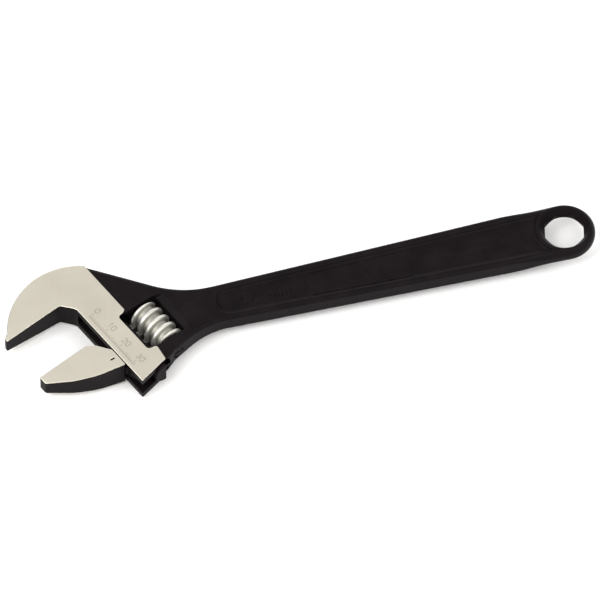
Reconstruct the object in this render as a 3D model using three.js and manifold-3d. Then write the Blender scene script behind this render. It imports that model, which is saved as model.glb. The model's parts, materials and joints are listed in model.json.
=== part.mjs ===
// Adjustable wrench with a 250 mm body and a jaw opening of 30 mm, modelled at an opening of 23 mm.
// Millimetres, +Z up, lying on its side. The handle runs along X and the head is at -X.
//
// Two frames are used. The handle frame has its origin at the middle of the hole in the ring end.
// The head frame is turned by HEAD_ANGLE: x runs from the slide face towards the handle, and y from
// the opening towards the fixed jaw, whose gripping face is y = 0. The movable jaw slides along -y.

import * as THREE from 'three';
import { mergeVertices } from 'three/addons/utils/BufferGeometryUtils.js';
import Module from 'manifold-3d';

const wasm = await Module();
wasm.setup();

// Head
const HEAD_ANGLE = THREE.MathUtils.degToRad(22.5);
const HEAD_X = -213.0;             // head frame's origin in the handle frame
const HEAD_Y = 15.7;
const HEAD_THICKNESS = 12.7;
const JAW_LENGTH = 32.2;           // slide face to jaw tips
const JAW_TIP_THICKNESS = 7.1;
const TAPER_START = -3;            // the jaws get thinner from here to their tips
const SLIDE_END = 52.15;           // fixed gripping face to the open end of the slide
const BACK_RADIUS = 31.0;          // round back of the fixed jaw
const BACK_X = -3.4;
const BACK_Y = -13.3;
const OPENING = 23;

// Neck, handle and ring
const NECK_THICKNESS = 11.2;
const HANDLE_THICKNESS = 8.4;
const NECK_HALF_WIDTH = 9.2;       // at the start of the recess
const RING_RADIUS = 12.9;
const RING_HOLE = 16.4;            // across the flats of the eight-sided hole
const RING_HOLE_TURN = THREE.MathUtils.degToRad(-14);
const RING_LAND = 2.6;             // height of the straight wall in the hole
const RIM_WIDTH = 3.2;
const RECESS_START = -152;
const RECESS_END_RADIUS = 12.4;    // the recess stops at this distance from the middle of the ring
const RECESS_FLOOR = 2.5;          // half the thickness that is left between the two recesses

// Slide rail, worm, pin and spring
const GAP = 0.3;                   // clearance between pieces
const RAIL_X = 12.6;
const RAIL_RADIUS = 4.9;
const RAIL_LENGTH = 28.2;
const RAIL_FLAT_X = 14.0;          // the rail's last stretch is cut away beyond this
const RAIL_FLAT_LENGTH = 2.4;
const RAIL_BEVEL = 0.6;
const WEB_THICKNESS = 5.5;
const WINDOW = { left: 11.8, right: 31.3, top: -19.3, bottom: -40.8 };
const WINDOW_CORNER = 1.6;
const THUMB_RELIEF_WIDTH = 3.5;    // hollow beside the window that lets a thumb reach the worm
const THUMB_RELIEF_FLOOR = 3.3;    // its height above the mid-plane at the window's wall
const WORM_X = 23.4;
const WORM_TOP = -20.9;
const WORM_BOTTOM = -40.2;
const WORM_PITCH = 4.6;
const WORM_RADIUS = 7.15;
const WORM_ROOT = 5.25;
const WORM_BEVEL = 0.9;
const RIDGE_TOP = 1.3;             // axial widths of the thread's ridge
const RIDGE_FOOT = 2.5;
const WORM_PHASE = -21.7;          // y where a ridge crosses the top of the worm
const PIN_RADIUS = 2.2;
const PIN_HEAD_RADIUS = 2.6;
const PIN_SLOT_DEPTH = 1.2;
const PIN_SLOT_HALF_WIDTH = 0.45;
const PIN_TOP = -12.6;
const PIN_NECK = -41.8;
const PIN_BOTTOM = -45.5;
const SPRING_RADIUS = 3.0;
const SPRING_WIRE = 0.8;
const SPRING_TURNS = 4;
const SPRING_POCKET = 4.2;         // depth of the worm's counterbore

const FAR = 60;                    // further than any surface that a cutter has to pass

// ---- solids ------------------------------------------------------------------------------------

// A closed geometry as a solid that can be joined and cut.
function solid(geometry) {
  geometry.deleteAttribute('normal');
  geometry.deleteAttribute('uv');
  const merged = mergeVertices(geometry, 1e-4);
  const corners = merged.index.array;
  const triangles = [];
  for (let i = 0; i < corners.length; i += 3) {
    const triangle = corners.slice(i, i + 3);
    if (new Set(triangle).size === 3) triangles.push(...triangle);
  }
  const mesh = new wasm.Mesh({
    numProp: 3,
    vertProperties: new Float32Array(merged.attributes.position.array),
    triVerts: new Uint32Array(triangles),
  });
  return new wasm.Manifold(mesh);
}

function toGeometry(manifold) {
  const mesh = manifold.getMesh();
  const geometry = new THREE.BufferGeometry();
  geometry.setAttribute('position', new THREE.BufferAttribute(mesh.vertProperties, 3));
  geometry.setIndex(new THREE.BufferAttribute(mesh.triVerts, 1));
  geometry.computeVertexNormals();
  return geometry;
}

// An outline through corners [x, y, radius]; a corner with a radius becomes an arc.
function outline(corners, steps = 5) {
  const points = [];
  corners.forEach(([x, y, radius = 0], i) => {
    const corner = new THREE.Vector2(x, y);
    if (radius === 0) {
      points.push(corner);
      return;
    }
    const before = corners.at(i - 1);
    const after = corners[(i + 1) % corners.length];
    const back = new THREE.Vector2(before[0], before[1]).sub(corner).normalize();
    const ahead = new THREE.Vector2(after[0], after[1]).sub(corner).normalize();
    const half = Math.acos(THREE.MathUtils.clamp(back.dot(ahead), -1, 1)) / 2;
    const middle = back.clone().add(ahead).normalize();
    const centre = corner.clone().addScaledVector(middle, radius / Math.sin(half));
    const start = corner.clone().addScaledVector(back, radius / Math.tan(half)).sub(centre);
    const sweep = Math.sign(back.cross(ahead)) * (half * 2 - Math.PI);
    for (let k = 0; k <= steps; k += 1) {
      points.push(start.clone().rotateAround(new THREE.Vector2(), sweep * k / steps).add(centre));
    }
  });
  return points;
}

// Points [x, y] on an arc around a centre, from one angle to another.
function arc(x, y, radius, from, to, steps) {
  return Array.from({ length: steps + 1 }, (_, k) => {
    const angle = from + (to - from) * k / steps;
    return [x + radius * Math.cos(angle), y + radius * Math.sin(angle)];
  });
}

// An upright prism between two heights.
function prism(points, low, high) {
  const options = { depth: high - low, bevelEnabled: false };
  return solid(new THREE.ExtrudeGeometry(new THREE.Shape(points), options).translate(0, 0, low));
}

// A prism along y, its section given as [x, z] points.
function prismAlongY(section, low, high) {
  const points = section.map(([x, z]) => new THREE.Vector2(x, -z));
  const options = { depth: high - low, bevelEnabled: false };
  const geometry = new THREE.ExtrudeGeometry(new THREE.Shape(points), options);
  return solid(geometry.rotateX(-Math.PI / 2).translate(0, low, 0));
}

function box(left, right, front, back, halfHeight) {
  const geometry = new THREE.BoxGeometry(right - left, back - front, 2 * halfHeight);
  return solid(geometry.translate((left + right) / 2, (front + back) / 2, 0));
}

// A round rod along y through [x, 0].
function rod(x, radius, low, high, segments = 32) {
  const geometry = new THREE.CylinderGeometry(radius, radius, high - low, segments);
  return solid(geometry.translate(x, (low + high) / 2, 0));
}

// Both sides of the mid-plane, from one solid that lies above it.
function bothSides(manifold) {
  return manifold.add(manifold.mirror([0, 0, 1]));
}

function fromHeadFrame(manifold) {
  const degrees = THREE.MathUtils.radToDeg(HEAD_ANGLE);
  return manifold.rotate([0, 0, degrees]).translate([HEAD_X, HEAD_Y, 0]);
}

// A point of the head frame, as [x, y, radius] in the handle frame.
function headPoint(x, y, radius = 0) {
  const point = new THREE.Vector2(x, y).rotateAround(new THREE.Vector2(), HEAD_ANGLE);
  return [point.x + HEAD_X, point.y + HEAD_Y, radius];
}

// ---- body --------------------------------------------------------------------------------------

// The wedge that both jaws are forged to: full thickness at the slide, thinner at the tips.
function jawTaper() {
  const half = HEAD_THICKNESS / 2;
  const tip = JAW_TIP_THICKNESS / 2;
  const upper = [[FAR, half], [TAPER_START, half], [-JAW_LENGTH, tip]];
  const lower = upper.map(([x, z]) => [x, -z]).reverse();
  return prismAlongY([...upper, ...lower], -2 * FAR, FAR);
}

// Fixed jaw and the raised flat of the head, up to the step where the neck starts.
function headPlate() {
  const stepAngle = Math.atan2(10.4 - BACK_Y, 16.3 - BACK_X);
  const tipAngle = Math.PI - Math.asin((4 - BACK_Y) / BACK_RADIUS);
  const corners = [
    ...arc(BACK_X, BACK_Y, BACK_RADIUS, stepAngle, tipAngle, 22),
    [-JAW_LENGTH + 0.2, 1.8],
    [-JAW_LENGTH, 0, 0.8],
    [-4.4, 0, 1.5],
    [0, -5.5, 1.5],
    [0, -SLIDE_END, 0.8],
    [14.9, -48.9, 1],
    [16, -41.5, 1],
    [12.6, -39.5],
    [12.6, -20.5],
    [16.3, -18.4, 0.8],
  ];
  const plate = prism(outline(corners), -HEAD_THICKNESS / 2, HEAD_THICKNESS / 2);
  return plate.intersect(jawTaper());
}

// Half the thickness of the neck and handle along x, as a closed [x, z] section.
function sideProfile() {
  const neck = NECK_THICKNESS / 2;
  const handle = HANDLE_THICKNESS / 2;
  const upper = [[-220, neck], [-178, neck], [-158, handle + 0.25], [-140, handle], [20, handle]];
  const lower = upper.map(([x, z]) => [x, -z]).reverse();
  return [...upper, ...lower];
}

// Neck, handle and ring in the handle frame, without the recesses.
function neckAndHandle() {
  const tangent = Math.PI / 2 + Math.asin((RING_RADIUS - NECK_HALF_WIDTH) / -RECESS_START);
  const corners = [
    headPoint(3, -46),
    headPoint(14.9, -48.9, 1),
    headPoint(22.1, -46.3, 1.5),
    [-159, -NECK_HALF_WIDTH, 34],
    [RECESS_START, -NECK_HALF_WIDTH],
    ...arc(0, 0, RING_RADIUS, -tangent, tangent, 24),
    [RECESS_START, NECK_HALF_WIDTH],
    [-166.6, NECK_HALF_WIDTH, 42],
    headPoint(15.9, 10.3),
    headPoint(3, 10.3),
  ];
  const solidNeck = prism(outline(corners), -FAR, FAR);
  return solidNeck.intersect(prismAlongY(sideProfile(), -FAR, FAR));
}

// The long recess in each side of the handle, which leaves a rim all round it.
function recess() {
  const neckSide = NECK_HALF_WIDTH - RIM_WIDTH;
  const ringSide = RING_RADIUS - RIM_WIDTH;
  const slope = (ringSide - neckSide) / -RECESS_START;
  const angle = Math.PI - Math.asin(ringSide / RECESS_END_RADIUS) + slope;
  const corners = [
    [RECESS_START, -neckSide, neckSide * 0.9],
    ...arc(0, 0, RECESS_END_RADIUS, -angle, angle - 2 * Math.PI, 10),
    [RECESS_START, neckSide, neckSide * 0.9],
  ];
  return bothSides(prism(outline(corners), RECESS_FLOOR, FAR));
}

// The eight-sided hole, widening from its straight wall to both faces of the ring.
function ringHole() {
  const corner = RING_HOLE / 2 / Math.cos(Math.PI / 8);
  const wall = RING_LAND / 2;
  const face = HANDLE_THICKNESS / 2;
  const wide = corner + 1.9;
  const profile = [[0, -wall], [corner, -wall], [corner, wall], [0, wall]];
  const flare = [[0, 0], [corner, wall], [wide, face], [wide, face + 1], [0, face + 1]];
  const toPoints = (list) => list.map(([x, y]) => new THREE.Vector2(x, y));
  const hole = solid(new THREE.LatheGeometry(toPoints(profile), 8).rotateX(Math.PI / 2));
  const cone = solid(new THREE.LatheGeometry(toPoints(flare), 32).rotateX(Math.PI / 2));
  const turned = hole.rotate([0, 0, THREE.MathUtils.radToDeg(RING_HOLE_TURN + Math.PI / 8)]);
  return turned.add(bothSides(cone));
}

// The hollow beside the window, on both faces, where a thumb reaches the worm.
function thumbRelief() {
  const inner = WINDOW.right - 0.5;
  const outer = WINDOW.right + THUMB_RELIEF_WIDTH;
  const surface = NECK_THICKNESS / 2;
  const slope = [[inner, THUMB_RELIEF_FLOOR], [WINDOW.right, THUMB_RELIEF_FLOOR], [outer, surface]];
  const wedge = prismAlongY([...slope, [outer, surface + 1], [inner, surface + 1]], -FAR, 0);
  const corners = [
    [inner, WINDOW.bottom],
    [outer, WINDOW.bottom, 0.8],
    [outer, WINDOW.top + 0.7, 3],
    [inner, WINDOW.top + 0.7],
  ];
  return bothSides(wedge.intersect(prism(outline(corners), 0, FAR)));
}

// The slide's round bore and its slot, the worm's window and the bore for the pin, in the head frame.
function slideCuts() {
  const bore = rod(RAIL_X, RAIL_RADIUS + GAP, -FAR, 0.5);
  const slot = box(-6, RAIL_X, -FAR, -2.5, WEB_THICKNESS / 2 + GAP);
  const windowCorners = [
    [WINDOW.left, WINDOW.bottom, WINDOW_CORNER],
    [WINDOW.right, WINDOW.bottom, WINDOW_CORNER],
    [WINDOW.right, WINDOW.top, WINDOW_CORNER],
    [WINDOW.left, WINDOW.top, WINDOW_CORNER],
  ];
  const window = prism(outline(windowCorners, 3), -FAR, FAR);
  const pinBore = rod(WORM_X, PIN_RADIUS + GAP, WINDOW.bottom - 1.5, PIN_TOP + GAP, 24);
  const headBore = rod(WORM_X, PIN_HEAD_RADIUS + GAP, -FAR, PIN_NECK + GAP, 24);
  return bore.add(slot).add(window).add(thumbRelief()).add(pinBore).add(headBore);
}

function body() {
  const blank = fromHeadFrame(headPlate()).add(neckAndHandle());
  return toGeometry(blank.subtract(fromHeadFrame(slideCuts())).subtract(recess()).subtract(ringHole()));
}

// ---- screw threads -----------------------------------------------------------------------------

// A right-hand screw with one ridge along y around [WORM_X, 0], swollen by a clearance. A section
// across the axis is extruded in steps, and each step is turned so that it follows the thread. Whole
// steps make up a turn, so every ridge has the same corners at the top and at the bottom.
function screw(clearance, low, high) {
  const crest = WORM_RADIUS + clearance;
  const top = RIDGE_TOP / 2 + clearance;
  const foot = RIDGE_FOOT / 2 + clearance;
  const ridge = [[-top, crest], [top, crest], [foot, WORM_ROOT], [WORM_PITCH - foot, WORM_ROOT]];
  const stretches = [6, 3, 8, 3];
  const points = ridge.flatMap(([from, radius], i) => {
    const [next, nextRadius] = ridge[i + 1] ?? [WORM_PITCH - top, crest];
    return Array.from({ length: stretches[i] }, (_, k) => {
      const offset = THREE.MathUtils.lerp(from, next, k / stretches[i]);
      const distance = THREE.MathUtils.lerp(radius, nextRadius, k / stretches[i]);
      const angle = 2 * Math.PI * offset / WORM_PITCH;
      return new THREE.Vector2(distance * Math.cos(angle), distance * Math.sin(angle));
    });
  });
  const stepsPerTurn = 16;
  const stepHeight = WORM_PITCH / stepsPerTurn;
  const start = WORM_PHASE + Math.floor((low - WORM_PHASE) / stepHeight) * stepHeight;
  const steps = Math.ceil((high - start) / stepHeight);
  const options = { depth: steps * stepHeight, steps, bevelEnabled: false };
  const geometry = new THREE.ExtrudeGeometry(new THREE.Shape(points), options);
  const position = geometry.attributes.position;
  const vertex = new THREE.Vector3();
  const axis = new THREE.Vector3(0, 0, 1);
  for (let i = 0; i < position.count; i += 1) {
    vertex.fromBufferAttribute(position, i);
    vertex.applyAxisAngle(axis, 2 * Math.PI * (vertex.z + start - WORM_PHASE) / WORM_PITCH + Math.PI / 2);
    position.setXYZ(i, vertex.x, vertex.y, vertex.z);
  }
  geometry.translate(0, 0, start).rotateX(-Math.PI / 2).rotateY(Math.PI);
  return solid(geometry.translate(WORM_X, 0, 0));
}

// The worm: the thread cut to length, with bevelled ends, a bore and a pocket for the spring.
function worm() {
  const bore = PIN_RADIUS + GAP;
  const pocket = SPRING_RADIUS + SPRING_WIRE / 2 + GAP;
  const outer = WORM_RADIUS + 0.1;
  const end = outer - 1.5 * WORM_BEVEL;
  const profile = [
    [bore, WORM_BOTTOM],
    [end, WORM_BOTTOM],
    [outer, WORM_BOTTOM + WORM_BEVEL],
    [outer, WORM_TOP - WORM_BEVEL],
    [end, WORM_TOP],
    [pocket, WORM_TOP],
    [pocket, WORM_TOP - SPRING_POCKET],
    [bore, WORM_TOP - SPRING_POCKET],
    [bore, WORM_BOTTOM],
  ];
  const points = profile.map(([x, y]) => new THREE.Vector2(x, y));
  const sleeve = solid(new THREE.LatheGeometry(points, 28).translate(WORM_X, 0, 0));
  return toGeometry(screw(0, WORM_BOTTOM - 1, WORM_TOP + 1).intersect(sleeve));
}

// ---- movable jaw -------------------------------------------------------------------------------

// The round rail under the jaw, before its teeth are cut. Its last stretch is flat beside the worm.
function rail() {
  const bottom = -OPENING - RAIL_LENGTH;
  const profile = [
    [0, bottom],
    [RAIL_RADIUS - RAIL_BEVEL, bottom],
    [RAIL_RADIUS, bottom + RAIL_BEVEL],
    [RAIL_RADIUS, -OPENING],
    [0, -OPENING],
  ];
  const points = profile.map(([x, y]) => new THREE.Vector2(x, y));
  const round = solid(new THREE.LatheGeometry(points, 36).translate(RAIL_X, 0, 0));
  return round.subtract(box(RAIL_FLAT_X, FAR, -FAR, bottom + RAIL_FLAT_LENGTH, FAR));
}

// The jaw with its gripping face at y = -OPENING, its web in the slot and its toothed rail.
function movableJaw() {
  const grip = -OPENING;
  const corners = [
    [-0.3, grip - 8.5],
    [-4.6, grip - 2.3, 2.5],
    [-7.8, grip, 2.5],
    [-JAW_LENGTH, grip, 0.6],
    [-JAW_LENGTH, grip - 4.1, 1.4],
    [-21.9, grip - 11.1, 30],
    [-12.8, grip - 15.2, 30],
    [-0.3, grip - 18.1, 0.6],
  ];
  const block = prism(outline(corners), -HEAD_THICKNESS / 2, HEAD_THICKNESS / 2).intersect(jawTaper());
  const webCorners = [
    [RAIL_X, grip - 3],
    [0.6, grip - 3],
    [0.6, grip - 9.5],
    [-2, grip - 10.5],
    [-2, grip - 16],
    [0.6, grip - 18],
    [1.5, grip - 23],
    [RAIL_X, grip - 24],
  ];
  const web = prism(outline(webCorners), -WEB_THICKNESS / 2, WEB_THICKNESS / 2);
  const rack = screw(GAP, grip - RAIL_LENGTH - 2, grip + 2);
  return toGeometry(block.add(web).add(rail()).subtract(rack));
}

// ---- pin and spring ----------------------------------------------------------------------------

// The pin that carries the worm, screwed in from the end of the head, with a screwdriver slot.
function wormPin() {
  const profile = [
    [0, PIN_BOTTOM],
    [PIN_HEAD_RADIUS - 0.4, PIN_BOTTOM],
    [PIN_HEAD_RADIUS, PIN_BOTTOM + 0.4],
    [PIN_HEAD_RADIUS, PIN_NECK - 0.3],
    [PIN_RADIUS, PIN_NECK],
    [PIN_RADIUS, PIN_TOP - 0.6],
    [PIN_RADIUS - 0.6, PIN_TOP],
    [0, PIN_TOP],
  ];
  const points = profile.map(([x, y]) => new THREE.Vector2(x, y));
  const pin = solid(new THREE.LatheGeometry(points, 24));
  const slot = box(-FAR, FAR, PIN_BOTTOM - 1, PIN_BOTTOM + PIN_SLOT_DEPTH, PIN_SLOT_HALF_WIDTH);
  return toGeometry(pin.subtract(slot).translate([WORM_X, 0, 0]));
}

// The helix that the spring's wire follows.
class CoilCurve extends THREE.Curve {
  constructor(radius, turns, low, high) {
    super();
    Object.assign(this, { radius, turns, low, high });
  }

  getPoint(t, target = new THREE.Vector3()) {
    const angle = 2 * Math.PI * this.turns * t;
    const y = THREE.MathUtils.lerp(this.low, this.high, t);
    return target.set(this.radius * Math.cos(angle), y, this.radius * Math.sin(angle));
  }
}

function wormSpring() {
  const wire = SPRING_WIRE / 2;
  const low = WORM_TOP - SPRING_POCKET + GAP + wire;
  const high = WINDOW.top - GAP - wire;
  const corners = [[-wire, -wire, wire], [wire, -wire, wire], [wire, wire, wire], [-wire, wire, wire]];
  const section = new THREE.Shape(outline(corners, 2));
  const path = new CoilCurve(SPRING_RADIUS, SPRING_TURNS, low, high);
  const options = { extrudePath: path, steps: SPRING_TURNS * 14, bevelEnabled: false };
  return new THREE.ExtrudeGeometry(section, options).translate(WORM_X, 0, 0);
}

// ---- assembly ----------------------------------------------------------------------------------

function material(color, roughness, metalness) {
  return new THREE.MeshStandardMaterial({ color, roughness, metalness });
}

function piece(name, geometry, look) {
  const mesh = new THREE.Mesh(geometry, look);
  mesh.name = name;
  return mesh;
}

const blackened = material(0x2b2727, 0.5, 0.6);
const brightSteel = material(0xc9c4bb, 0.35, 1);
const springSteel = material(0x8f8d88, 0.4, 1);

const head = new THREE.Group();
head.rotation.z = HEAD_ANGLE;
head.position.set(HEAD_X, HEAD_Y, 0);
head.add(piece('movable_jaw', movableJaw(), blackened));
head.add(piece('worm', worm(), brightSteel));
head.add(piece('worm_pin', wormPin(), blackened));
head.add(piece('worm_spring', wormSpring(), springSteel));

const wrench = new THREE.Group();
wrench.add(piece('body', body(), blackened));
wrench.add(head);

// The origin is the middle of the underside of the whole wrench.
const bounds = new THREE.Box3().setFromObject(wrench, true);
const middle = bounds.getCenter(new THREE.Vector3());
wrench.position.set(-middle.x, -middle.y, -bounds.min.z);

export default wrench;
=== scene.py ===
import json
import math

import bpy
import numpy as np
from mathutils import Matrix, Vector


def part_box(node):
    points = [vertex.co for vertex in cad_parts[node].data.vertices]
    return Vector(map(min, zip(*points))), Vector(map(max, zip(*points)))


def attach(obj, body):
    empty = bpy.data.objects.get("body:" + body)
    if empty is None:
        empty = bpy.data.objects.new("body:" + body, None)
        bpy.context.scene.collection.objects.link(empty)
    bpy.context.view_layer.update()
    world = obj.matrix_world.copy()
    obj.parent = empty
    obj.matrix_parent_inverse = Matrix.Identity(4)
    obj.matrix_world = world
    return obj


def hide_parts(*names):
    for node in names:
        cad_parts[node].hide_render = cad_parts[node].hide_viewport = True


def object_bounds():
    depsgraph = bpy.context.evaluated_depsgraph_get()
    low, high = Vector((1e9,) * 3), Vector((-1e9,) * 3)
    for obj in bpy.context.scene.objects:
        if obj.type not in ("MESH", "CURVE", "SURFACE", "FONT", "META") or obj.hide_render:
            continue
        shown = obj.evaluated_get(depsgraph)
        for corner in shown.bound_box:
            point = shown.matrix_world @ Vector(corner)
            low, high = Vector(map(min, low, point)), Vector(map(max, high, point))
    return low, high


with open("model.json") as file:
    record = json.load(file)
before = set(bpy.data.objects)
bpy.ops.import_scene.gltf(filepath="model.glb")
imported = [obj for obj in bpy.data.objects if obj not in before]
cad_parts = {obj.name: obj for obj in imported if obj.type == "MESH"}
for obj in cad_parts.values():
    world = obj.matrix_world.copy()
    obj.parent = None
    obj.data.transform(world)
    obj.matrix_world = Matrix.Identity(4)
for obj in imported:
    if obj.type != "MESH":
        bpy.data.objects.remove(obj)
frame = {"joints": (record.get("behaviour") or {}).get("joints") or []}        # the joints from the record's behaviour

# Adjustable wrench: the forged, ground and turned steel that is seen around the imported model.
#
# Lengths are in millimetres, and a mesh is turned to metres when it is made. Every steel piece is
# described by a signed distance (negative inside) and meshed from it. z is measured from the
# wrench's mid-plane. Two plans are used, as on a drawing of the part: the handle's (x, y), with its
# origin at the middle of the ring, and the head's (u, v), turned by HEAD_TURN, where u runs from the
# slide face towards the handle and v from the opening towards the fixed jaw, whose face is v = 0.

cad_low, cad_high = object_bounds()

MM = 0.001

# Head
HEAD_X, HEAD_Y = -213.0, 15.7           # the head's origin in the handle's plan
HEAD_HALF = 6.35                        # half thickness of the ground flats
JAW_LENGTH = 32.2
TIP_HALF = 3.55
TAPER_START, TAPER_BLEND = -3.0, 7.0    # where the flats start to thin, and how gently
TAPER_SLOPE = (HEAD_HALF - TIP_HALF) / (JAW_LENGTH + TAPER_START)
SLIDE_END = 52.15
BACK_X, BACK_Y, BACK_RADIUS = -3.4, -13.3, 31.0
OPENING = 23.0
DRAFT = math.radians(1.5)               # slope of the forged walls

# Neck, handle and ring
NECK_HALF = 5.6
HANDLE_HALF = 4.2
NECK_WIDTH = 9.2                        # half width where the recess starts
RING_RADIUS = 13.1
RING_HOLE = 16.4
RING_TURN = math.radians(-14.0)
RING_LAND = 1.3
RIM = 3.2
RECESS_START = -152.0
RECESS_RADIUS = 12.4
RECESS_FLOOR = 2.5

# Slide, window, worm, pin and spring
GAP = 0.3
RAIL_X, RAIL_RADIUS, RAIL_LENGTH, RAIL_FLAT = 12.6, 4.9, 28.2, 14.0
RACK_ROOT, RACK_TIP, RACK_HALF = 13.4, 16.9, 1.0
RACK_PLAY = 1.0
WEB_HALF = 2.75
WINDOW_LEFT, WINDOW_RIGHT, WINDOW_TOP, WINDOW_BOTTOM = 11.8, 31.3, -19.3, -40.8
WORM_X, WORM_TOP, WORM_BOTTOM = 23.4, -20.9, -40.2
WORM_PITCH, WORM_RADIUS, WORM_ROOT, WORM_PHASE = 4.6, 7.15, 5.25, -21.7
RIDGE_TOP, RIDGE_FOOT = 1.3, 2.5
PIN_RADIUS, PIN_HEAD, PIN_TOP, PIN_NECK, PIN_BOTTOM = 2.2, 2.6, -12.6, -41.8, -45.9
SPRING_RADIUS, SPRING_WIRE, SPRING_TURNS, SPRING_POCKET = 3.0, 0.4, 4, 4.2

SCALE_HALF = 0.11                       # half width of a stroke of the scale

# The worm's joint says where the head is: its point is halfway down the window on the worm's axis.
worm_joint = next(j for j in frame["joints"] if j["name"] == "worm_spin")
HEAD_TURN = math.atan2(-worm_joint["axis"][0], worm_joint["axis"][1])
COS, SIN = math.cos(HEAD_TURN), math.sin(HEAD_TURN)
WORM_MIDDLE = -30.5
worm_x, worm_y, MIDDLE = (c / MM for c in worm_joint["pos_m"])
ORIGIN_X = worm_x - WORM_X * COS + WORM_MIDDLE * SIN
ORIGIN_Y = worm_y - WORM_X * SIN - WORM_MIDDLE * COS
RING_X, RING_Y = ORIGIN_X - HEAD_X, ORIGIN_Y - HEAD_Y


# ---- signed distances --------------------------------------------------------------------------

def to_head(x, y):
    """The head's plan coordinates of a point of the row frame."""
    x, y = x - ORIGIN_X, y - ORIGIN_Y
    return x * COS + y * SIN, y * COS - x * SIN


def from_head(u, v):
    """The handle's plan coordinates of a point of the head's plan."""
    return u * COS - v * SIN + HEAD_X, u * SIN + v * COS + HEAD_Y


def both(a, b, radius=0.2):
    """The space inside a and b, with the edge between them rounded."""
    sharp = np.maximum(a, b)
    corner = np.hypot(np.maximum(a + radius, 0), np.maximum(b + radius, 0))
    return np.minimum(sharp, -radius) + corner


def either(a, b, radius=0.2):
    """The space inside a or b, with the corner between them filled."""
    return -both(-a, -b, radius)


def without(a, b, radius=0.2):
    """The space inside a that is outside b."""
    return both(a, -b, radius)


def bump(t):
    """0 to 1 as t goes from 0 to 1, with soft ends."""
    t = np.clip(t, 0, 1)
    return t * t * (3 - 2 * t)


def rounded(corners, count=7):
    """Points of an outline; a corner (x, y, radius) becomes an arc, and (x, y) stays a point."""
    points = []
    for i, corner in enumerate(corners):
        here = np.array(corner[:2], float)
        if len(corner) < 3:
            points.append(here)
            continue
        back = np.array(corners[i - 1][:2], float) - here
        ahead = np.array(corners[(i + 1) % len(corners)][:2], float) - here
        back, ahead = back / np.linalg.norm(back), ahead / np.linalg.norm(ahead)
        half = math.acos(float(np.clip(back @ ahead, -1, 1))) / 2
        middle = (back + ahead) / np.linalg.norm(back + ahead)
        centre = here + middle * corner[2] / math.sin(half)
        start = here + back * corner[2] / math.tan(half) - centre
        turn = (2 * half - math.pi) * math.copysign(1, back[0] * ahead[1] - back[1] * ahead[0])
        for k in range(count + 1):
            c, s = math.cos(turn * k / count), math.sin(turn * k / count)
            points.append(centre + (start[0] * c - start[1] * s, start[0] * s + start[1] * c))
    return points


def arc(x, y, radius, start, end, count):
    """Points on an arc around (x, y)."""
    angles = np.linspace(start, end, count + 1)
    return [(x + radius * math.cos(a), y + radius * math.sin(a)) for a in angles]


def polygon(x, y, points):
    """Distance in plan to a closed outline."""
    best, inside = None, None
    for (ax, ay), (bx, by) in zip(points, points[1:] + points[:1]):
        ex, ey = bx - ax, by - ay
        px, py = x - ax, y - ay
        along = np.clip((px * ex + py * ey) / (ex * ex + ey * ey), 0, 1)
        gap = (px - ex * along) ** 2 + (py - ey * along) ** 2
        crossed = ((y < ay) != (y < by)) & (px < py * (ex / (ey or 1)))
        best = gap if best is None else np.minimum(best, gap)
        inside = crossed if inside is None else inside ^ crossed
    distance = np.sqrt(best)
    return np.where(inside, -distance, distance)


def strokes(x, y, lines, width):
    """Distance in plan to pen strokes; each line is a list of points."""
    best = None
    for line in lines:
        for (ax, ay), (bx, by) in zip(line, line[1:]):
            ex, ey = bx - ax, by - ay
            px, py = x - ax, y - ay
            along = np.clip((px * ex + py * ey) / (ex * ex + ey * ey), 0, 1)
            gap = (px - ex * along) ** 2 + (py - ey * along) ** 2
            best = gap if best is None else np.minimum(best, gap)
    return np.sqrt(best) - width / 2


# ---- plain numerals ----------------------------------------------------------------------------

# Strokes in a cell that is 0.6 wide and 1 high, for the numbers of a scale and of a size.
GLYPHS = {
    "0": [arc(0.3, 0.7, 0.3, math.pi, 0, 8) + arc(0.3, 0.3, 0.3, 0, -math.pi, 8) + [(0, 0.7)]],
    "1": [[(0.08, 0.78), (0.32, 1), (0.32, 0)]],
    "2": [arc(0.3, 0.7, 0.3, 2.8, -0.5, 8) + [(0.0, 0), (0.6, 0)]],
    "3": [arc(0.28, 0.75, 0.25, 2.5, -1.57, 7) + arc(0.28, 0.25, 0.27, 1.57, -2.6, 8)],
    "5": [[(0.55, 1), (0.1, 1), (0.05, 0.55)] + arc(0.27, 0.32, 0.3, 2.2, -2.5, 9)],
    "m": [
        [(0, 0), (0, 0.6)],
        arc(0.17, 0.43, 0.17, math.pi, 0, 5) + [(0.34, 0)],
        arc(0.51, 0.43, 0.17, math.pi, 0, 5) + [(0.68, 0)],
    ],
}
ADVANCE = {"m": 0.95, " ": 0.35}


def lettering(text, x, y, height, turn=0.0):
    """Strokes of a plain number, starting at (x, y) and running in the direction turn."""
    lines, pen = [], 0.0
    c, s = math.cos(turn) * height, math.sin(turn) * height
    for letter in text:
        for line in GLYPHS.get(letter, []):
            lines.append([(x + (pen + a) * c - b * s, y + (pen + a) * s + b * c) for a, b in line])
        pen += ADVANCE.get(letter, 0.85)
    return lines


# ---- body --------------------------------------------------------------------------------------

def flat_height(u):
    """Half thickness of the ground flats: full at the slide and thinner towards the jaw tips."""
    past = TAPER_START - u
    return HEAD_HALF - TAPER_SLOPE / 2 * (np.sqrt(past ** 2 + TAPER_BLEND ** 2) + past)


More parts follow.
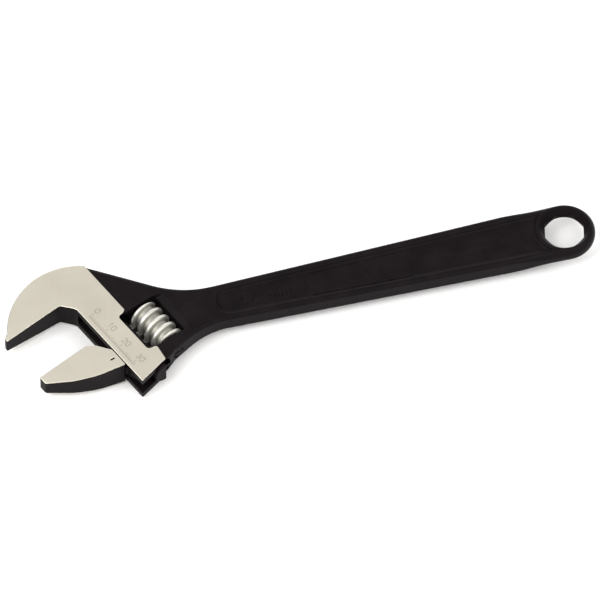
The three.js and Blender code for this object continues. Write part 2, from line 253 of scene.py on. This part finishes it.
def fixed_jaw_outline():
    """The forged head, before the opening is machined out of it."""
    step = math.atan2(10.4 - BACK_Y, 16.3 - BACK_X)
    tip = math.pi - math.asin((4 - BACK_Y) / BACK_RADIUS)
    return rounded([
        *arc(BACK_X, BACK_Y, BACK_RADIUS, step, tip, 40),
        (-JAW_LENGTH + 0.2, 1.8),
        (-JAW_LENGTH, 0),
        (-JAW_LENGTH, -6),
        (-8, -20),
        (-8, -60),
        (8, -60),
        (14.9, -48.9, 1),
        (16, -41.5, 1),
        (12.6, -39.5),
        (12.6, -20.5),
        (16.3, -18.4, 0.8),
    ])


def opening_outline():
    """What the cutter takes out for the jaws: the gripping face, the slide face and the slide's end."""
    return rounded([(-60, 0), (-4.4, 0, 2.2), (0, -5.5, 3.6), (0, -SLIDE_END), (14.9, -48.9), (20, -90), (-60, -90)])


def scale_marks():
    """The scale on the head: a line with a tick for every millimetre, and the numbers 0 to 30."""
    zero = -12.1
    line_u = 2.1
    lines = [[(line_u, zero), (line_u, zero - 31)]]
    for k in range(32):
        tick = 2.2 if k % 10 == 0 else 1.5 if k % 5 == 0 else 1.0
        lines.append([(line_u, zero - k), (line_u + tick, zero - k)])
    for k in range(4):
        text = str(10 * k)
        lines += lettering(text, 5.3, zero - 10 * k + 0.9 * len(text), 2.6, -math.pi / 2)
    return lines


def neck_and_handle(x, y, z):
    tangent = math.pi / 2 + math.asin((RING_RADIUS - NECK_WIDTH) / -RECESS_START)
    outline = rounded([
        from_head(3, -46),
        (*from_head(14.9, -48.9), 1),
        (*from_head(22.1, -46.3), 1.5),
        (-159, -NECK_WIDTH, 34),
        (RECESS_START, -NECK_WIDTH),
        *arc(0, 0, RING_RADIUS, -tangent, tangent, 40),
        (RECESS_START, NECK_WIDTH),
        (-166.6, NECK_WIDTH, 42),
        from_head(15.9, 11.9),
        from_head(3, 11.9),
    ], 16)
    wall = polygon(x, y, outline)
    to_handle = bump((x + 184) / 34)
    half = NECK_HALF + (HANDLE_HALF - NECK_HALF) * to_handle
    to_ring = bump((x + 26) / 18)
    edge = 2.4 - 0.7 * to_handle + 2.1 * to_ring
    return both(wall, np.abs(z) - half, edge)


def recess(x, y, z):
    """The long hollow in both sides of the handle, with sloping walls."""
    neck_side, ring_side = NECK_WIDTH - RIM, RING_RADIUS - RIM
    slope = (ring_side - neck_side) / -RECESS_START
    angle = math.pi - math.asin(ring_side / RECESS_RADIUS) + slope
    outline = rounded([
        (RECESS_START, -neck_side, neck_side * 0.9),
        *arc(0, 0, RECESS_RADIUS, -angle, angle - 2 * math.pi, 16),
        (RECESS_START, neck_side, neck_side * 0.9),
    ], 10)
    wall = polygon(x, y, outline) - 0.4 * (np.abs(z) - 3.6)
    return both(wall * 0.93, RECESS_FLOOR - np.abs(z), 1.0)


def raised_marks(x, y, z):
    """On the floor of the recess: the size, an empty cartouche and two plain bars."""
    size = strokes(x, y, lettering("250 mm", -144.9, -2.6, 5.2), 1.05)
    frame_line = rounded([(-113, -5.2, 2.4), (-68, -6.6, 2.4), (-68, 6.2, 2.4), (-113, 4.8, 2.4)], 6)
    cartouche = np.abs(polygon(x, y, frame_line)) - 0.2
    bars = strokes(x, y, [[(-50, 3.2), (-27, 3.2)], [(-50, -1.4), (-24, -1.4)]], 1.7)
    plan = np.minimum(np.minimum(size, cartouche), bars)
    return both(plan, np.abs(z) - RECESS_FLOOR - 0.45, 0.25)


def ring_hole(x, y, z):
    apothem = RING_HOLE / 2
    corner = apothem / math.cos(math.pi / 8)
    points = [
        (corner * math.cos(RING_TURN + math.pi / 8 + k * math.pi / 4),
         corner * math.sin(RING_TURN + math.pi / 8 + k * math.pi / 4))
        for k in range(8)
    ]
    flare = (np.hypot(x, y) - corner - 0.75 * (np.abs(z) - RING_LAND)) * 0.8
    return np.minimum(polygon(x, y, points), flare)


def bore_of(u, v, z, centre, radius, low, high):
    """A round bore along v."""
    return np.maximum(np.hypot(u - centre, z) - radius, np.abs(v - (low + high) / 2) - (high - low) / 2)


def slide_cuts(u, v, z):
    """The slide's bore and slot, the worm's window with its thumb reliefs, and the pin's bore."""
    bore = bore_of(u, v, z, RAIL_X, RAIL_RADIUS + GAP, -90, 0.5)
    slot_end = (v + 2.7 + (RAIL_X - u) * 0.342) * 0.946
    slot = np.maximum(np.maximum(np.abs(z) - WEB_HALF - GAP, np.abs(u - 3.3) - 9.3), slot_end)
    corners = [
        (WINDOW_LEFT, WINDOW_BOTTOM, 1.6),
        (WINDOW_RIGHT, WINDOW_BOTTOM, 1.6),
        (WINDOW_RIGHT, WINDOW_TOP, 1.6),
        (WINDOW_LEFT, WINDOW_TOP, 1.6),
    ]
    window = polygon(u, v, rounded(corners)) + 0 * z
    relief_plan = polygon(u, v, rounded([
        (WINDOW_RIGHT - 3, WINDOW_BOTTOM),
        (WINDOW_RIGHT + 3.5, WINDOW_BOTTOM, 0.8),
        (WINDOW_RIGHT + 3.5, WINDOW_TOP - 0.5, 3.2),
        (WINDOW_RIGHT - 3, WINDOW_TOP - 0.5),
    ]))
    slope = ((u - WINDOW_RIGHT) * 2.3 - (np.abs(z) - 3.3) * 3.5) / math.hypot(2.3, 3.5)
    relief = both(relief_plan, np.maximum(slope, 3.3 - np.abs(z)), 0.6)
    pin = bore_of(u, v, z, WORM_X, PIN_RADIUS + GAP, WINDOW_BOTTOM - 2, PIN_TOP + GAP)
    pin_head = bore_of(u, v, z, WORM_X, PIN_HEAD + GAP / 2, -90, PIN_NECK + GAP)
    cuts = np.minimum(np.minimum(bore, slot), np.minimum(window, relief))
    return np.minimum(cuts, np.minimum(pin, pin_head))


def body(x, y, z):
    u, v = to_head(x, y)
    hx, hy = x - RING_X, y - RING_Y
    forged = (polygon(u, v, fixed_jaw_outline()) + math.tan(DRAFT) * np.abs(z)) * math.cos(DRAFT)
    plate = both(forged, np.abs(z) - flat_height(u), 0.35)
    steel = either(plate, neck_and_handle(hx, hy, z), 0.5)
    steel = without(steel, polygon(u, v, opening_outline()) + 0 * z, 0.3)
    steel = without(steel, recess(hx, hy, z), 0.9)
    steel = either(steel, raised_marks(hx, hy, z), 0.3)
    steel = without(steel, ring_hole(hx, hy, z), 0.45)
    return without(steel, slide_cuts(u, v, z), 0.3)


# ---- movable jaw, worm and pin -----------------------------------------------------------------

def thread(u, v, z, clearance=0.0):
    """A right-hand screw with one ridge around the worm's axis."""
    distance = np.hypot(u - WORM_X, z)
    ridge_at = WORM_PHASE + WORM_PITCH * np.arctan2(u - WORM_X, z) / (2 * math.pi)
    off = np.abs((v - ridge_at + WORM_PITCH / 2) % WORM_PITCH - WORM_PITCH / 2)
    spread = (RIDGE_FOOT - RIDGE_TOP) / 2 / (WORM_RADIUS - WORM_ROOT)
    flank = (off - RIDGE_TOP / 2 - clearance - (WORM_RADIUS - distance) * spread) / math.hypot(1, spread)
    ridge = both(distance - WORM_RADIUS - clearance, flank, 0.3)
    return either(distance - WORM_ROOT, ridge, 0.35)


def worm(x, y, z):
    u, v = to_head(x, y)
    half, middle = (WORM_TOP - WORM_BOTTOM) / 2, (WORM_TOP + WORM_BOTTOM) / 2
    distance = np.hypot(u - WORM_X, z)
    ends = np.abs(v - middle) - half
    bevel = (ends + (distance - WORM_RADIUS + 1.2) * 0.75) * 0.8
    steel = both(both(thread(u, v, z), ends, 0.2), bevel, 0.25)
    pocket = np.maximum(distance - SPRING_RADIUS - SPRING_WIRE - GAP, WORM_TOP - SPRING_POCKET - v)
    return without(steel, np.minimum(distance - PIN_RADIUS - GAP, pocket), 0.2)


def jaw_outline():
    grip = -OPENING
    return rounded([
        (-0.3, grip - 8.5),
        (-4.6, grip - 2.3, 2.5),
        (-7.8, grip, 2.5),
        (-JAW_LENGTH, grip, 0.6),
        (-JAW_LENGTH, grip - 4.1, 1.4),
        (-21.9, grip - 11.1, 30),
        (-12.8, grip - 15.2, 30),
        (-0.3, grip - 18.1, 0.6),
    ], 10)


def rack_gaps(u, v, z):
    """What is milled off the rail for the rack: straight gaps for the ridges, and the teeth's shoulders."""
    gap_at = WORM_PHASE - WORM_PITCH / 4 - RACK_PLAY
    off = np.abs((v - gap_at + WORM_PITCH / 2) % WORM_PITCH - WORM_PITCH / 2)
    milled = np.minimum(off - RIDGE_FOOT / 2 - GAP, RACK_HALF - np.abs(z))
    return np.minimum(np.maximum(milled, RACK_ROOT - u), RACK_TIP - u)


def movable_jaw(x, y, z):
    u, v = to_head(x, y)
    grip = -OPENING
    outline = polygon(u, v, jaw_outline())
    block = both(outline + 0 * z, np.abs(z) - flat_height(u), 0.35)
    web_plan = polygon(u, v, [
        (RAIL_X, grip - 3), (-2, grip - 8), (-2, grip - 16), (0.6, grip - 18), (1.5, grip - 23), (RAIL_X, grip - 24)])
    web = both(web_plan, np.abs(z) - WEB_HALF, 0.3)
    rail_middle = grip - RAIL_LENGTH / 2
    rail_ends = np.abs(v - rail_middle) - RAIL_LENGTH / 2
    rail = both(np.hypot(u - RAIL_X, z) - RAIL_RADIUS, rail_ends, 0.6)
    flat = np.maximum(RAIL_FLAT - u, v - (grip - RAIL_LENGTH + 2.4))
    rail = without(rail, flat, 0.2)
    rail = without(rail, rack_gaps(u, v, z), 0.3)
    steel = either(either(web, rail, 0.6), block, 0.4)
    steel = without(steel, thread(u, v, z, GAP), 0.15)
    mark = strokes(u, v, [[(-3.9, grip - 12.3), (-2.4, grip - 12.4)]], 0.75)
    return np.maximum(steel, -np.maximum(mark, flat_height(u) - 0.35 - z))


def worm_pin(x, y, z):
    u, v = to_head(x, y)
    distance = np.hypot(u - WORM_X, z)
    shank = both(distance - PIN_RADIUS, np.abs(v - (PIN_TOP + PIN_BOTTOM) / 2) - (PIN_TOP - PIN_BOTTOM) / 2, 0.5)
    cap = both(distance - PIN_HEAD, np.abs(v - (PIN_NECK + PIN_BOTTOM) / 2) - (PIN_NECK - PIN_BOTTOM) / 2, 0.35)
    slot = np.maximum(np.abs(z) - 0.45, v - PIN_BOTTOM - 1.2)
    return without(either(shank, cap, 0.2), slot, 0.1)


# ---- meshing -----------------------------------------------------------------------------------

def grid(*stretches):
    """Grid coordinates through stretches of (start, end, spacing)."""
    parts = [np.arange(start, end, step) for start, end, step in stretches]
    return np.concatenate(parts).astype(np.float32)


def net(field, axes):
    """Corners and four-sided faces of the surface where the field is 0, one corner in each cell."""
    inside = field < 0
    shape = tuple(n - 1 for n in field.shape)
    count = np.zeros(shape, np.uint8)
    for i in (0, 1):
        for j in (0, 1):
            for k in (0, 1):
                count += inside[i:i + shape[0], j:j + shape[1], k:k + shape[2]]
    mixed = (count > 0) & (count < 8)
    cells = np.argwhere(mixed)
    index = np.full(shape, -1, np.int32)
    index[mixed] = np.arange(len(cells))
    total = np.zeros((len(cells), 3))
    crossings = np.zeros(len(cells))
    faces = []
    for axis in range(3):
        first, second = (axis + 1) % 3, (axis + 2) % 3
        for i in (0, 1):
            for j in (0, 1):
                start = cells.copy()
                start[:, first] += i
                start[:, second] += j
                end = start.copy()
                end[:, axis] += 1
                a, b = field[tuple(start.T)], field[tuple(end.T)]
                crossed = (a < 0) != (b < 0)
                share = np.where(crossed, a / np.where(crossed, a - b, 1), 0)
                point = np.stack([axes[k][start[:, k]] for k in range(3)], 1).astype(float)
                point[:, axis] += share * (axes[axis][end[:, axis]] - axes[axis][start[:, axis]])
                total += point * crossed[:, None]
                crossings += crossed
        low = [slice(None)] * 3
        high = [slice(None)] * 3
        low[axis], high[axis] = slice(None, -1), slice(1, None)
        entering = inside[tuple(low)]
        edges = np.argwhere(entering != inside[tuple(high)])
        flip = entering[tuple(edges.T)]
        around = []
        for i, j in ((0, 0), (1, 0), (1, 1), (0, 1)):
            cell = edges.copy()
            cell[:, first] -= i
            cell[:, second] -= j
            around.append(index[tuple(cell.T)])
        quads = np.stack(around, 1)
        quads[~flip] = quads[~flip][:, ::-1]
        faces.append(quads)
    return total / crossings[:, None], np.concatenate(faces)


def sample(field, axes, points):
    """The field at any points, from the eight grid corners around each."""
    at = [np.interp(points[:, k], axes[k], np.arange(len(axes[k]))) for k in range(3)]
    low = [np.clip(a.astype(int), 0, field.shape[k] - 2) for k, a in enumerate(at)]
    part = [a - b for a, b in zip(at, low)]
    value = 0
    for i in (0, 1):
        for j in (0, 1):
            for k in (0, 1):
                weight = 1.0
                for p, one in zip(part, (i, j, k)):
                    weight = weight * (p if one else 1 - p)
                value = value + weight * field[low[0] + i, low[1] + j, low[2] + k]
    return value


def normals_of(field, axes, points, reach):
    """Directions out of the surface, from the slope of the field."""
    slopes = []
    for k in range(3):
        step = np.zeros(3)
        step[k] = reach
        slopes.append(sample(field, axes, points + step) - sample(field, axes, points - step))
    slopes = np.stack(slopes, 1)
    return slopes / np.maximum(np.linalg.norm(slopes, axis=1), 1e-9)[:, None]


def piece(name, shape, axes, most_triangles, body_name, slot, material):
    """Meshes one steel piece, thins out its flat stretches and puts it in place of its CAD node."""
    x, y, z = np.meshgrid(*axes, indexing="ij", sparse=True)
    field = np.ascontiguousarray(shape(x, y, z), np.float32)
    corners, faces = net(field, axes)
    mesh = bpy.data.meshes.new(name + "_fine")
    mesh.from_pydata(corners, [], faces.tolist())
    fine = bpy.data.objects.new(name + "_fine", mesh)
    bpy.context.scene.collection.objects.link(fine)
    if 2 * len(faces) > most_triangles:
        thin = fine.modifiers.new("thin", "DECIMATE")
        thin.ratio = most_triangles / (2 * len(faces))
    final = bpy.data.meshes.new_from_object(fine.evaluated_get(bpy.context.evaluated_depsgraph_get()))
    bpy.data.objects.remove(fine)
    final.name = name
    points = np.zeros(3 * len(final.vertices), np.float32)
    final.vertices.foreach_get("co", points)
    points = points.reshape(-1, 3)
    directions = normals_of(field, axes, points, 0.12)
    points[:, 2] += MIDDLE
    final.vertices.foreach_set("co", (points * MM).ravel())
    final.polygons.foreach_set("use_smooth", np.ones(len(final.polygons), bool))
    final.update()
    final.normals_split_custom_set_from_vertices(directions)
    final.materials.clear()
    final.materials.append(material)
    made = bpy.data.objects.new(name, final)
    bpy.context.scene.collection.objects.link(made)
    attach(made, body_name)
    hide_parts(slot[0])
    print(name, len(faces) * 2, "->", len(final.polygons))
    return made


def around(node, step, margin=1.2):
    """A grid that holds one CAD node, with z from the mid-plane."""
    low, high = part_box(node)
    axes = []
    for k in range(3):
        shift = MIDDLE if k == 2 else 0
        start, end = low[k] / MM - shift - margin, high[k] / MM - shift + margin
        axes.append(grid((start, end, step)))
    return axes


# ---- materials ---------------------------------------------------------------------------------

class Steel:
    """A steel material: one Principled shader with its detail from noise."""

    def __init__(self, name):
        self.material = bpy.data.materials.new(name)
        self.material.use_nodes = True
        self.tree = self.material.node_tree
        self.shader = self.tree.nodes["Principled BSDF"]
        self.place = self.tree.nodes.new("ShaderNodeTexCoord").outputs["Object"]

    def link(self, value, socket):
        if isinstance(value, bpy.types.NodeSocket):
            self.tree.links.new(value, socket)
        else:
            socket.default_value = value

    def node(self, kind, output=0, **inputs):
        made = self.tree.nodes.new(kind)
        for key, value in inputs.items():
            socket = made.inputs[int(key[1:])] if key[0] == "i" and key[1:].isdigit() else made.inputs[key]
            self.link(value, socket)
        return made.outputs[output]

    def math(self, operation, a, b=0.0, c=0.0):
        made = self.tree.nodes.new("ShaderNodeMath")
        made.operation = operation
        for socket, value in zip(made.inputs, (a, b, c)):
            self.link(value, socket)
        return made.outputs[0]

    def ramp(self, value, start, end, low=0.0, high=1.0):
        """low to high as value goes from start to end."""
        made = self.tree.nodes.new("ShaderNodeMapRange")
        for socket, number in zip(made.inputs, (value, start, end, low, high)):
            self.link(number, socket)
        return made.outputs[0]

    def mix(self, share, a, b):
        made = self.tree.nodes.new("ShaderNodeMix")
        made.data_type = "RGBA"
        self.link(share, made.inputs[0])
        self.link(a, made.inputs[6])
        self.link(b, made.inputs[7])
        return made.outputs[2]

    def dot(self, direction, place=None):
        made = self.tree.nodes.new("ShaderNodeVectorMath")
        made.operation = "DOT_PRODUCT"
        self.link(self.place if place is None else place, made.inputs[0])
        made.inputs[1].default_value = direction
        return made.outputs["Value"]

    def stretched(self, turn, scale):
        """The place, turned in plan and then scaled along its own axes."""
        made = self.tree.nodes.new("ShaderNodeMapping")
        made.vector_type = "TEXTURE"
        self.tree.links.new(self.place, made.inputs[0])
        made.inputs["Rotation"].default_value = (0, 0, turn)
        made.inputs["Scale"].default_value = [1 / s for s in scale]
        return made.outputs[0]

    def noise(self, size_mm, detail=3.0, rough=0.55, place=None):
        """Noise from 0 to 1 whose grain is about size_mm."""
        made = self.tree.nodes.new("ShaderNodeTexNoise")
        self.link(self.place if place is None else place, made.inputs["Vector"])
        made.inputs["Scale"].default_value = 1 / (size_mm * MM)
        made.inputs["Detail"].default_value = detail
        made.inputs["Roughness"].default_value = rough
        return made.outputs["Fac"]

    def relief(self, height, depth_mm, below=None):
        """A bump of that depth, on top of another bump."""
        made = self.tree.nodes.new("ShaderNodeBump")
        made.inputs["Distance"].default_value = depth_mm * MM
        self.link(height, made.inputs["Height"])
        if below is not None:
            self.tree.links.new(below, made.inputs["Normal"])
        return made.outputs[0]


def from_axis(steel):
    """Distance from the worm's axis, in metres."""
    across = steel.math("SUBTRACT", steel.dot((COS, SIN, 0)), (ORIGIN_X * COS + ORIGIN_Y * SIN + WORM_X) * MM)
    height = steel.math("SUBTRACT", steel.dot((0, 0, 1)), MIDDLE * MM)
    return steel.math("SQRT", steel.math("ADD", steel.math("MULTIPLY", across, across),
                                         steel.math("MULTIPLY", height, height)))


def forged_and_ground():
    """Blackened forging whose flats are ground bright: what lies on the plane of the grinding wheel."""
    steel = Steel("forged_and_ground")
    height = steel.math("ABSOLUTE", steel.math("SUBTRACT", steel.dot((0, 0, 1)), MIDDLE * MM))
    u = steel.math("SUBTRACT", steel.dot((COS, SIN, 0)), (ORIGIN_X * COS + ORIGIN_Y * SIN) * MM)
    past = steel.math("SUBTRACT", TAPER_START * MM, u)
    far = steel.math("SQRT", steel.math("MULTIPLY_ADD", past, past, (TAPER_BLEND * MM) ** 2))
    plane = steel.math("MULTIPLY_ADD", steel.math("ADD", far, past), -TAPER_SLOPE / 2, HEAD_HALF * MM)
    below = steel.math("SUBTRACT", plane, height)
    ragged = steel.math("MULTIPLY", steel.math("SUBTRACT", steel.noise(1.6), 0.5), 0.1 * MM)
    ground = steel.ramp(steel.math("ADD", below, ragged), 0.17 * MM, 0.10 * MM)

    patches, skin, grain = steel.noise(9), steel.noise(0.9, 4, 0.6), steel.noise(0.28, 3, 0.6)
    black = steel.mix(steel.ramp(patches, 0.35, 0.65), (0.0046, 0.0031, 0.0036, 1), (0.0074, 0.0052, 0.0058, 1))
    black = steel.mix(steel.ramp(grain, 0.55, 0.8, 0, 0.5), black, (0.010, 0.0078, 0.0078, 1))
    black_rough = steel.ramp(steel.math("ADD", steel.math("MULTIPLY", skin, 0.6), steel.math("MULTIPLY", patches, 0.4)),
                             0.3, 0.7, 0.36, 0.52)

    lines = steel.noise(1.0, 4, 0.6, steel.stretched(HEAD_TURN + 0.9, (0.045, 3.2, 1)))
    cloud = steel.noise(14, 3, 0.5)
    bright = steel.mix(steel.ramp(cloud, 0.3, 0.7), (0.57, 0.535, 0.455, 1), (0.63, 0.595, 0.510, 1))
    bright = steel.mix(steel.ramp(lines, 0.25, 0.75, 0.0, 0.35), bright, (0.50, 0.470, 0.400, 1))
    bright_rough = steel.ramp(lines, 0.2, 0.8, 0.30, 0.44)

    steel.link(steel.mix(ground, black, bright), steel.shader.inputs["Base Color"])
    steel.link(ground, steel.shader.inputs["Metallic"])
    steel.shader.inputs["Specular IOR Level"].default_value = 0.06
    steel.link(steel.math("ADD", steel.math("MULTIPLY", ground, bright_rough),
                          steel.math("MULTIPLY", steel.math("SUBTRACT", 1.0, ground), black_rough)),
               steel.shader.inputs["Roughness"])
    rough_skin = steel.math("MULTIPLY", steel.math("SUBTRACT", 1.0, ground), skin)
    fine_skin = steel.math("MULTIPLY", steel.math("SUBTRACT", 1.0, ground), grain)
    brushed = steel.math("MULTIPLY", ground, lines)
    bumps = steel.relief(rough_skin, 0.05)
    bumps = steel.relief(fine_skin, 0.025, bumps)
    bumps = steel.relief(brushed, 0.008, bumps)
    steel.link(bumps, steel.shader.inputs["Normal"])
    return steel.material


def turned_steel():
    """The worm: bright ridges with turning marks, and painted shade at the root: darker, duller and less metallic
    towards the root.
    """
    steel = Steel("turned_steel")
    distance = from_axis(steel)
    along = steel.stretched(HEAD_TURN, (0.05, 5.0, 0.05))
    rings = steel.noise(1.0, 3, 0.6, along)
    # Painted shade between the ridges: this mask is 1 at the root and 0 from about 1.5 mm above it, with a ragged edge.
    root_shade = steel.ramp(steel.math("ADD", distance, steel.math("MULTIPLY", steel.noise(1.2), 0.5 * MM)),
                      (WORM_ROOT + 0.4) * MM, (WORM_ROOT + 1.5) * MM, 1, 0)
    bright = steel.mix(steel.noise(3.0), (0.58, 0.565, 0.52, 1), (0.70, 0.685, 0.635, 1))
    # The grey below is the painted shade colour at the root; the mask also lowers the metallic and raises the roughness
    # there.
    steel.link(steel.mix(root_shade, bright, (0.36, 0.35, 0.31, 1)), steel.shader.inputs["Base Color"])
    steel.link(steel.ramp(root_shade, 0, 1, 0.8, 1.0), steel.shader.inputs["Metallic"])
    steel.link(steel.math("ADD", steel.ramp(rings, 0.2, 0.8, 0.26, 0.40), steel.math("MULTIPLY", root_shade, 0.2)),
               steel.shader.inputs["Roughness"])
    steel.link(steel.relief(rings, 0.012, steel.relief(steel.noise(0.4), 0.008)), steel.shader.inputs["Normal"])
    return steel.material


def black_steel():
    steel = Steel("black_steel")
    grain = steel.noise(0.3, 3, 0.6)
    steel.link(steel.mix(grain, (0.006, 0.0055, 0.0055, 1), (0.018, 0.016, 0.0155, 1)), steel.shader.inputs["Base Color"])
    steel.shader.inputs["Specular IOR Level"].default_value = 0.06
    steel.link(steel.ramp(steel.noise(1.0), 0.3, 0.7, 0.32, 0.48), steel.shader.inputs["Roughness"])
    steel.link(steel.relief(grain, 0.012), steel.shader.inputs["Normal"])
    return steel.material


def wire_steel():
    steel = Steel("wire_steel")
    drawn = steel.noise(0.25, 3, 0.6)
    steel.link(steel.mix(drawn, (0.30, 0.29, 0.27, 1), (0.55, 0.54, 0.51, 1)), steel.shader.inputs["Base Color"])
    steel.shader.inputs["Metallic"].default_value = 1.0
    steel.link(steel.ramp(drawn, 0.2, 0.8, 0.28, 0.42), steel.shader.inputs["Roughness"])
    steel.link(steel.relief(drawn, 0.006), steel.shader.inputs["Normal"])
    return steel.material


# ---- spring ------------------------------------------------------------------------------------

def spring(material):
    """The wire between the worm's pocket and the top of the window, with closed ends."""
    low, high = WORM_TOP - SPRING_POCKET + GAP + SPRING_WIRE, WINDOW_TOP - GAP - SPRING_WIRE
    around_turn, around_wire = 48, 14
    count = SPRING_TURNS * around_turn
    corners, faces = [], []
    for i in range(count + 1):
        t = i / count
        angle = 2 * math.pi * SPRING_TURNS * t
        centre_v = low + (high - low) * t
        for j in range(around_wire):
            a = 2 * math.pi * j / around_wire
            distance = SPRING_RADIUS + SPRING_WIRE * math.cos(a)
            u, v = WORM_X + distance * math.cos(angle), centre_v + SPRING_WIRE * math.sin(a)
            x, y = from_head(u, v)
            corners.append(((x + RING_X) * MM, (y + RING_Y) * MM, (MIDDLE + distance * math.sin(angle)) * MM))
    for i in range(count):
        for j in range(around_wire):
            k = (j + 1) % around_wire
            a, b = i * around_wire, (i + 1) * around_wire
            faces.append((a + j, a + k, b + k, b + j))
    faces.append(tuple(range(around_wire - 1, -1, -1)))
    faces.append(tuple(count * around_wire + j for j in range(around_wire)))
    mesh = bpy.data.meshes.new("worm_spring_wire")
    mesh.from_pydata(corners, [], faces)
    mesh.polygons.foreach_set("use_smooth", [len(f) == 4 for f in faces])
    mesh.materials.append(material)
    made = bpy.data.objects.new("worm_spring_wire", mesh)
    bpy.context.scene.collection.objects.link(made)
    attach(made, "body")
    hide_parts("worm_spring")


# ---- scale -------------------------------------------------------------------------------------

def etched_steel():
    """The dull floor of an etched line."""
    steel = Steel("etched_steel")
    wear = steel.noise(0.7, 3, 0.6)
    steel.link(steel.mix(wear, (0.20, 0.19, 0.165, 1), (0.42, 0.40, 0.35, 1)), steel.shader.inputs["Base Color"])
    steel.shader.inputs["Metallic"].default_value = 1.0
    steel.link(steel.ramp(wear, 0.3, 0.7, 0.45, 0.65), steel.shader.inputs["Roughness"])
    steel.link(steel.relief(wear, 0.004), steel.shader.inputs["Normal"])
    return steel.material


def etched_scale(material):
    """The strokes of the scale, each a thin closed bar sunk in the ground flat."""
    corners, faces = [], []
    for line in scale_marks():
        for (au, av), (bu, bv) in zip(line, line[1:]):
            share = SCALE_HALF / math.hypot(bu - au, bv - av)
            du, dv = (bu - au) * share, (bv - av) * share
            first = len(corners)
            plan = [(au - du + dv, av - dv - du), (bu + du + dv, bv + dv - du),
                    (bu + du - dv, bv + dv + du), (au - du - dv, av - dv + du)]
            for level in (-0.1, 0.015):
                for u, v in plan:
                    x, y = from_head(u, v)
                    height = MIDDLE + float(flat_height(u)) + level
                    corners.append(((x + RING_X) * MM, (y + RING_Y) * MM, height * MM))
            faces += [(first, first + 3, first + 2, first + 1), (first + 4, first + 5, first + 6, first + 7)]
            for k in range(4):
                following = (k + 1) % 4
                faces.append((first + k, first + following, first + 4 + following, first + 4 + k))
    mesh = bpy.data.meshes.new("etched_scale")
    mesh.from_pydata(corners, [], faces)
    mesh.materials.append(material)
    made = bpy.data.objects.new("etched_scale", mesh)
    bpy.context.scene.collection.objects.link(made)
    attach(made, "body")


# ---- the wrench --------------------------------------------------------------------------------

body_axes = [
    grid((cad_low.x / MM - 1.5, RING_X - 118, 0.25), (RING_X - 118, cad_high.x / MM + 1.5, 0.45)),
    grid((cad_low.y / MM - 1.5, cad_high.y / MM + 1.5, 0.25)),
    grid((-HEAD_HALF - 0.72, HEAD_HALF + 0.8, 0.25)),
]
finish_of_body = forged_and_ground()
black = black_steel()
piece("body_forging", body, body_axes, 190000, "body", ("body", "blackened_steel"), finish_of_body)
piece("movable_jaw_forging", movable_jaw, around("movable_jaw", 0.22), 110000, "jaw",
      ("movable_jaw", "blackened_steel"), finish_of_body)
piece("worm_screw", worm, around("worm", 0.17), 120000, "worm", ("worm", "bright_steel"), turned_steel())
piece("worm_pin_screw", worm_pin, around("worm_pin", 0.14), 40000, "body", ("worm_pin", "blackened_steel"), black)
spring(wire_steel())
etched_scale(etched_steel())


# ---- floor, light and camera -------------------------------------------------------------------

def floor():
    """A pale flat ground plane, 12 m square, under the wrench."""
    mesh = bpy.data.meshes.new("floor")
    reach = 6.0
    mesh.from_pydata([(-reach, -reach, 0), (reach, -reach, 0), (reach, reach, 0), (-reach, reach, 0)], [], [(0, 1, 2, 3)])
    paint = bpy.data.materials.new("pale_floor")
    paint.use_nodes = True
    shader = paint.node_tree.nodes["Principled BSDF"]
    shader.inputs["Base Color"].default_value = (0.92, 0.92, 0.92, 1)
    shader.inputs["Roughness"].default_value = 0.9
    mesh.materials.append(paint)
    made = bpy.data.objects.new("floor", mesh)
    bpy.context.scene.collection.objects.link(made)


def softbox(name, place, size, watts):
    """A square area light that faces the wrench."""
    data = bpy.data.lights.new(name, "AREA")
    data.shape = "SQUARE"
    data.size = size
    data.energy = watts
    made = bpy.data.objects.new(name, data)
    made.location = place
    made.rotation_euler = (-Vector(place)).to_track_quat("-Z", "Y").to_euler()
    bpy.context.scene.collection.objects.link(made)


def sky():
    world = bpy.data.worlds.new("studio")
    bpy.context.scene.world = world
    world.use_nodes = True
    background = world.node_tree.nodes["Background"]
    background.inputs["Color"].default_value = (1.0, 0.99, 0.975, 1)
    background.inputs["Strength"].default_value = 1.05


def camera():
    """A long lens from the front and above, slightly to the left of the handle's middle."""
    azimuth, elevation, distance = math.radians(-14.92), math.radians(54.66), 5.64
    data = bpy.data.cameras.new("camera")
    data.lens = 800
    data.clip_start, data.clip_end = 0.1, 50
    made = bpy.data.objects.new("camera", data)
    back = Vector((math.sin(azimuth) * math.cos(elevation), -math.cos(azimuth) * math.cos(elevation),
                   math.sin(elevation)))
    right = Vector((math.cos(azimuth), math.sin(azimuth), 0))
    up = back.cross(right)
    aim = right * -0.0006 + up * -0.0007
    made.location = aim + back * distance
    made.rotation_euler = back.to_track_quat("Z", "Y").to_euler()
    bpy.context.scene.collection.objects.link(made)
    bpy.context.scene.camera = made


floor()
sky()
softbox("key", (-0.65, -0.1, 0.85), 0.6, 6)
softbox("fill", (0.6, -0.8, 0.9), 0.8, 6)
softbox("rim", (0.2, 1.6, 0.4), 0.8, 3)
camera()
bpy.context.scene.view_settings.view_transform = "Standard"
